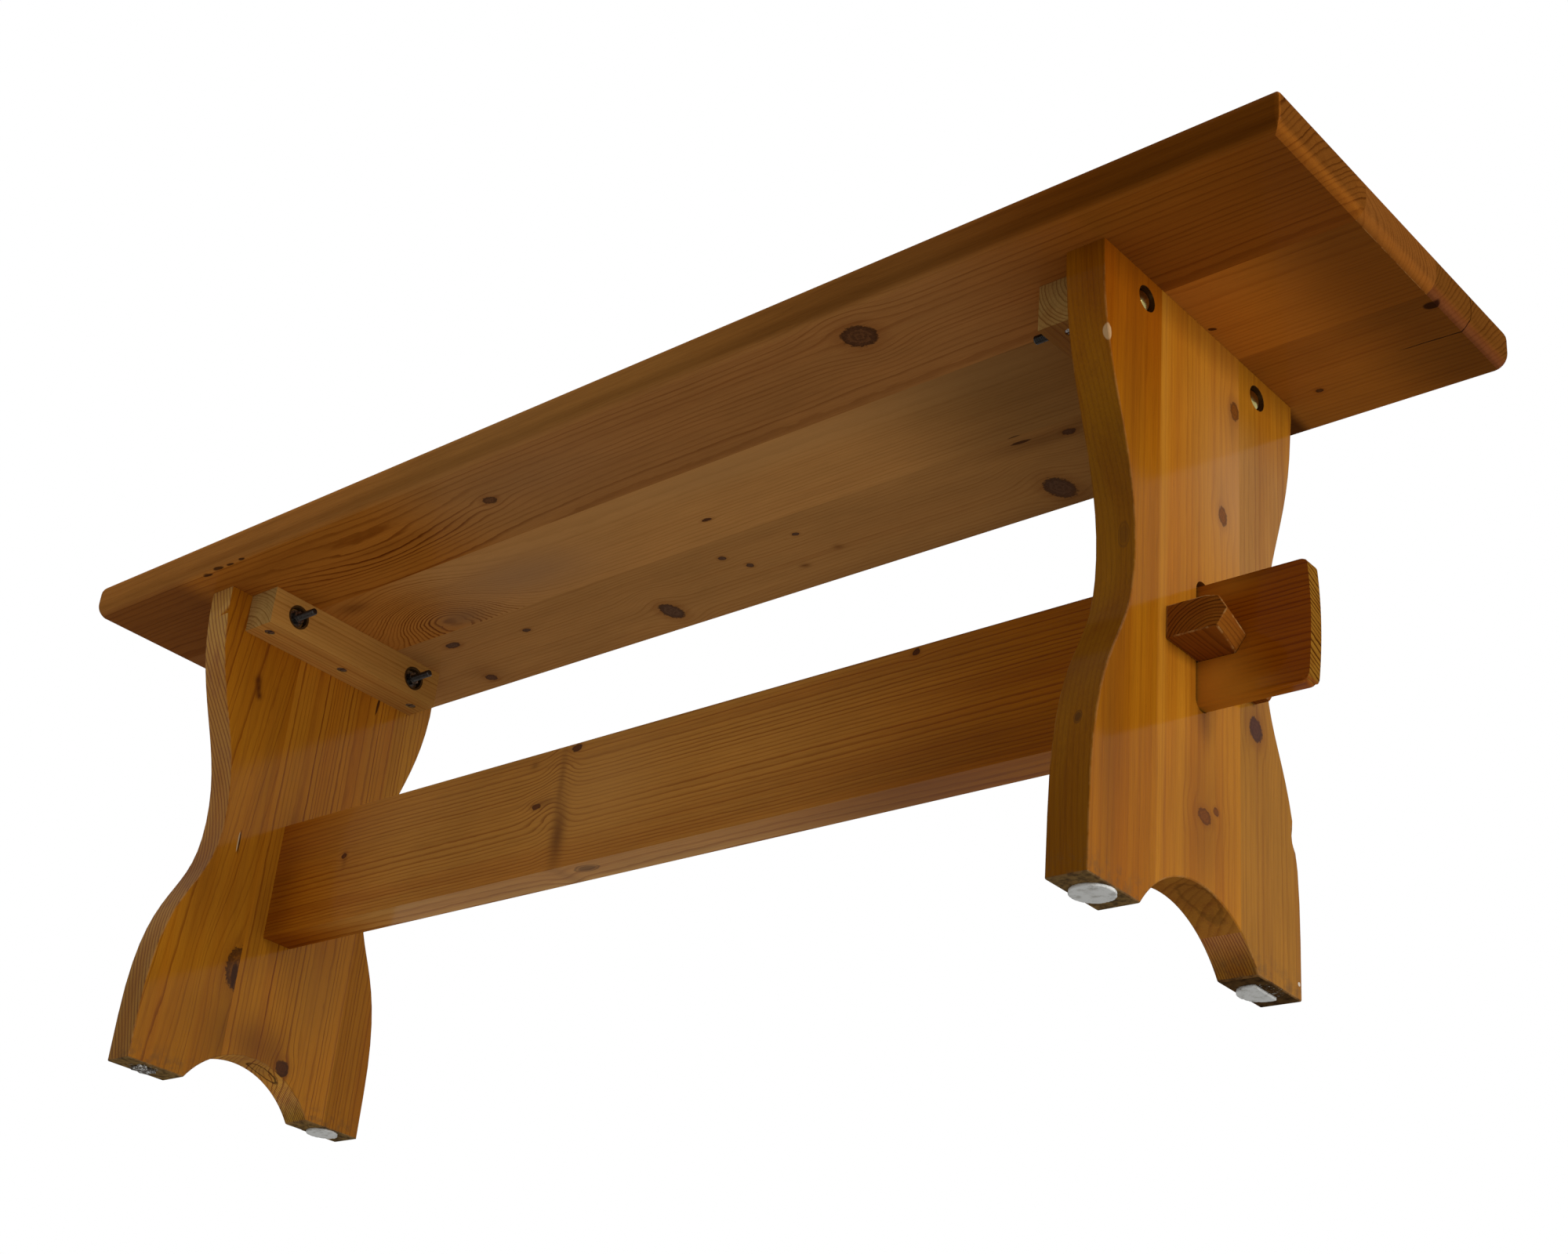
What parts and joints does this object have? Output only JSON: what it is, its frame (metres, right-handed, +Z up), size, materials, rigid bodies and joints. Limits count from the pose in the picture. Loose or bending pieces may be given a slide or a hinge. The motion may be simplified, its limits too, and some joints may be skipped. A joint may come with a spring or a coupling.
{
  "type": "bench",
  "caption": "Backless pine trestle bench: a glued plank seat bolted to shaped end boards, tied by a stretcher with loose-wedged through tenons.",
  "frame": {"origin": "middle of the bench on the floor, on the middle plane of the stretcher", "axes": "+X along the bench to its right end, +Y from its front to its back, +Z up; the wedges' thick ends point to the front (-Y)"},
  "size_m": [1.17, 0.298, 0.45],
  "materials": {
    "seat_pine": "amber varnish, satin",
    "trestle_pine": "amber varnish, satin",
    "stretcher_pine": "amber varnish, satin",
    "wedge_pine": "brown varnish, satin",
    "batten_pine": "thinly varnished",
    "brass": "worn, dull",
    "black_steel": "black",
    "screw_steel": "dull",
    "felt": "white felt, dirty"
  },
  "bodies": {
    "bench": {"seat_board_front": "seat_pine", "seat_board_middle": "seat_pine", "seat_board_back": "seat_pine", "stretcher": "stretcher_pine", "left_trestle_board_front": "trestle_pine", "left_trestle_board_middle": "trestle_pine", "left_trestle_top_corner": "trestle_pine", "left_trestle_foot_corner": "trestle_pine", "right_trestle_board_front": "trestle_pine", "right_trestle_board_middle": "trestle_pine", "right_trestle_board_back": "trestle_pine", "left_batten": "batten_pine", "left_front_bolt": "brass", "left_front_washer": "black_steel", "left_front_nut": "black_steel", "left_front_pad": "felt", "left_back_bolt": "brass", "left_back_washer": "black_steel", "left_back_nut": "black_steel", "left_back_pad": "felt", "left_front_screw": "screw_steel", "left_middle_screw": "screw_steel", "left_back_screw": "screw_steel", "right_batten": "batten_pine", "right_front_bolt": "brass", "right_front_washer": "black_steel", "right_front_nut": "black_steel", "right_front_pad": "felt", "right_back_bolt": "brass", "right_back_washer": "black_steel", "right_back_nut": "black_steel", "right_back_pad": "felt", "right_front_screw": "screw_steel", "right_middle_screw": "screw_steel", "right_back_screw": "screw_steel"},
    "left_wedge": {"left_wedge": "wedge_pine"},
    "right_wedge": {"right_wedge": "wedge_pine"}
  },
  "joints": [
    {"name": "left_wedge_slide", "type": "slide", "parent": "bench", "child": "left_wedge", "axis": [0, -1, 0], "range_m": [0, 0.065]},
    {"name": "right_wedge_slide", "type": "slide", "parent": "bench", "child": "right_wedge", "axis": [0, -1, 0], "range_m": [0, 0.065]}
  ]
}
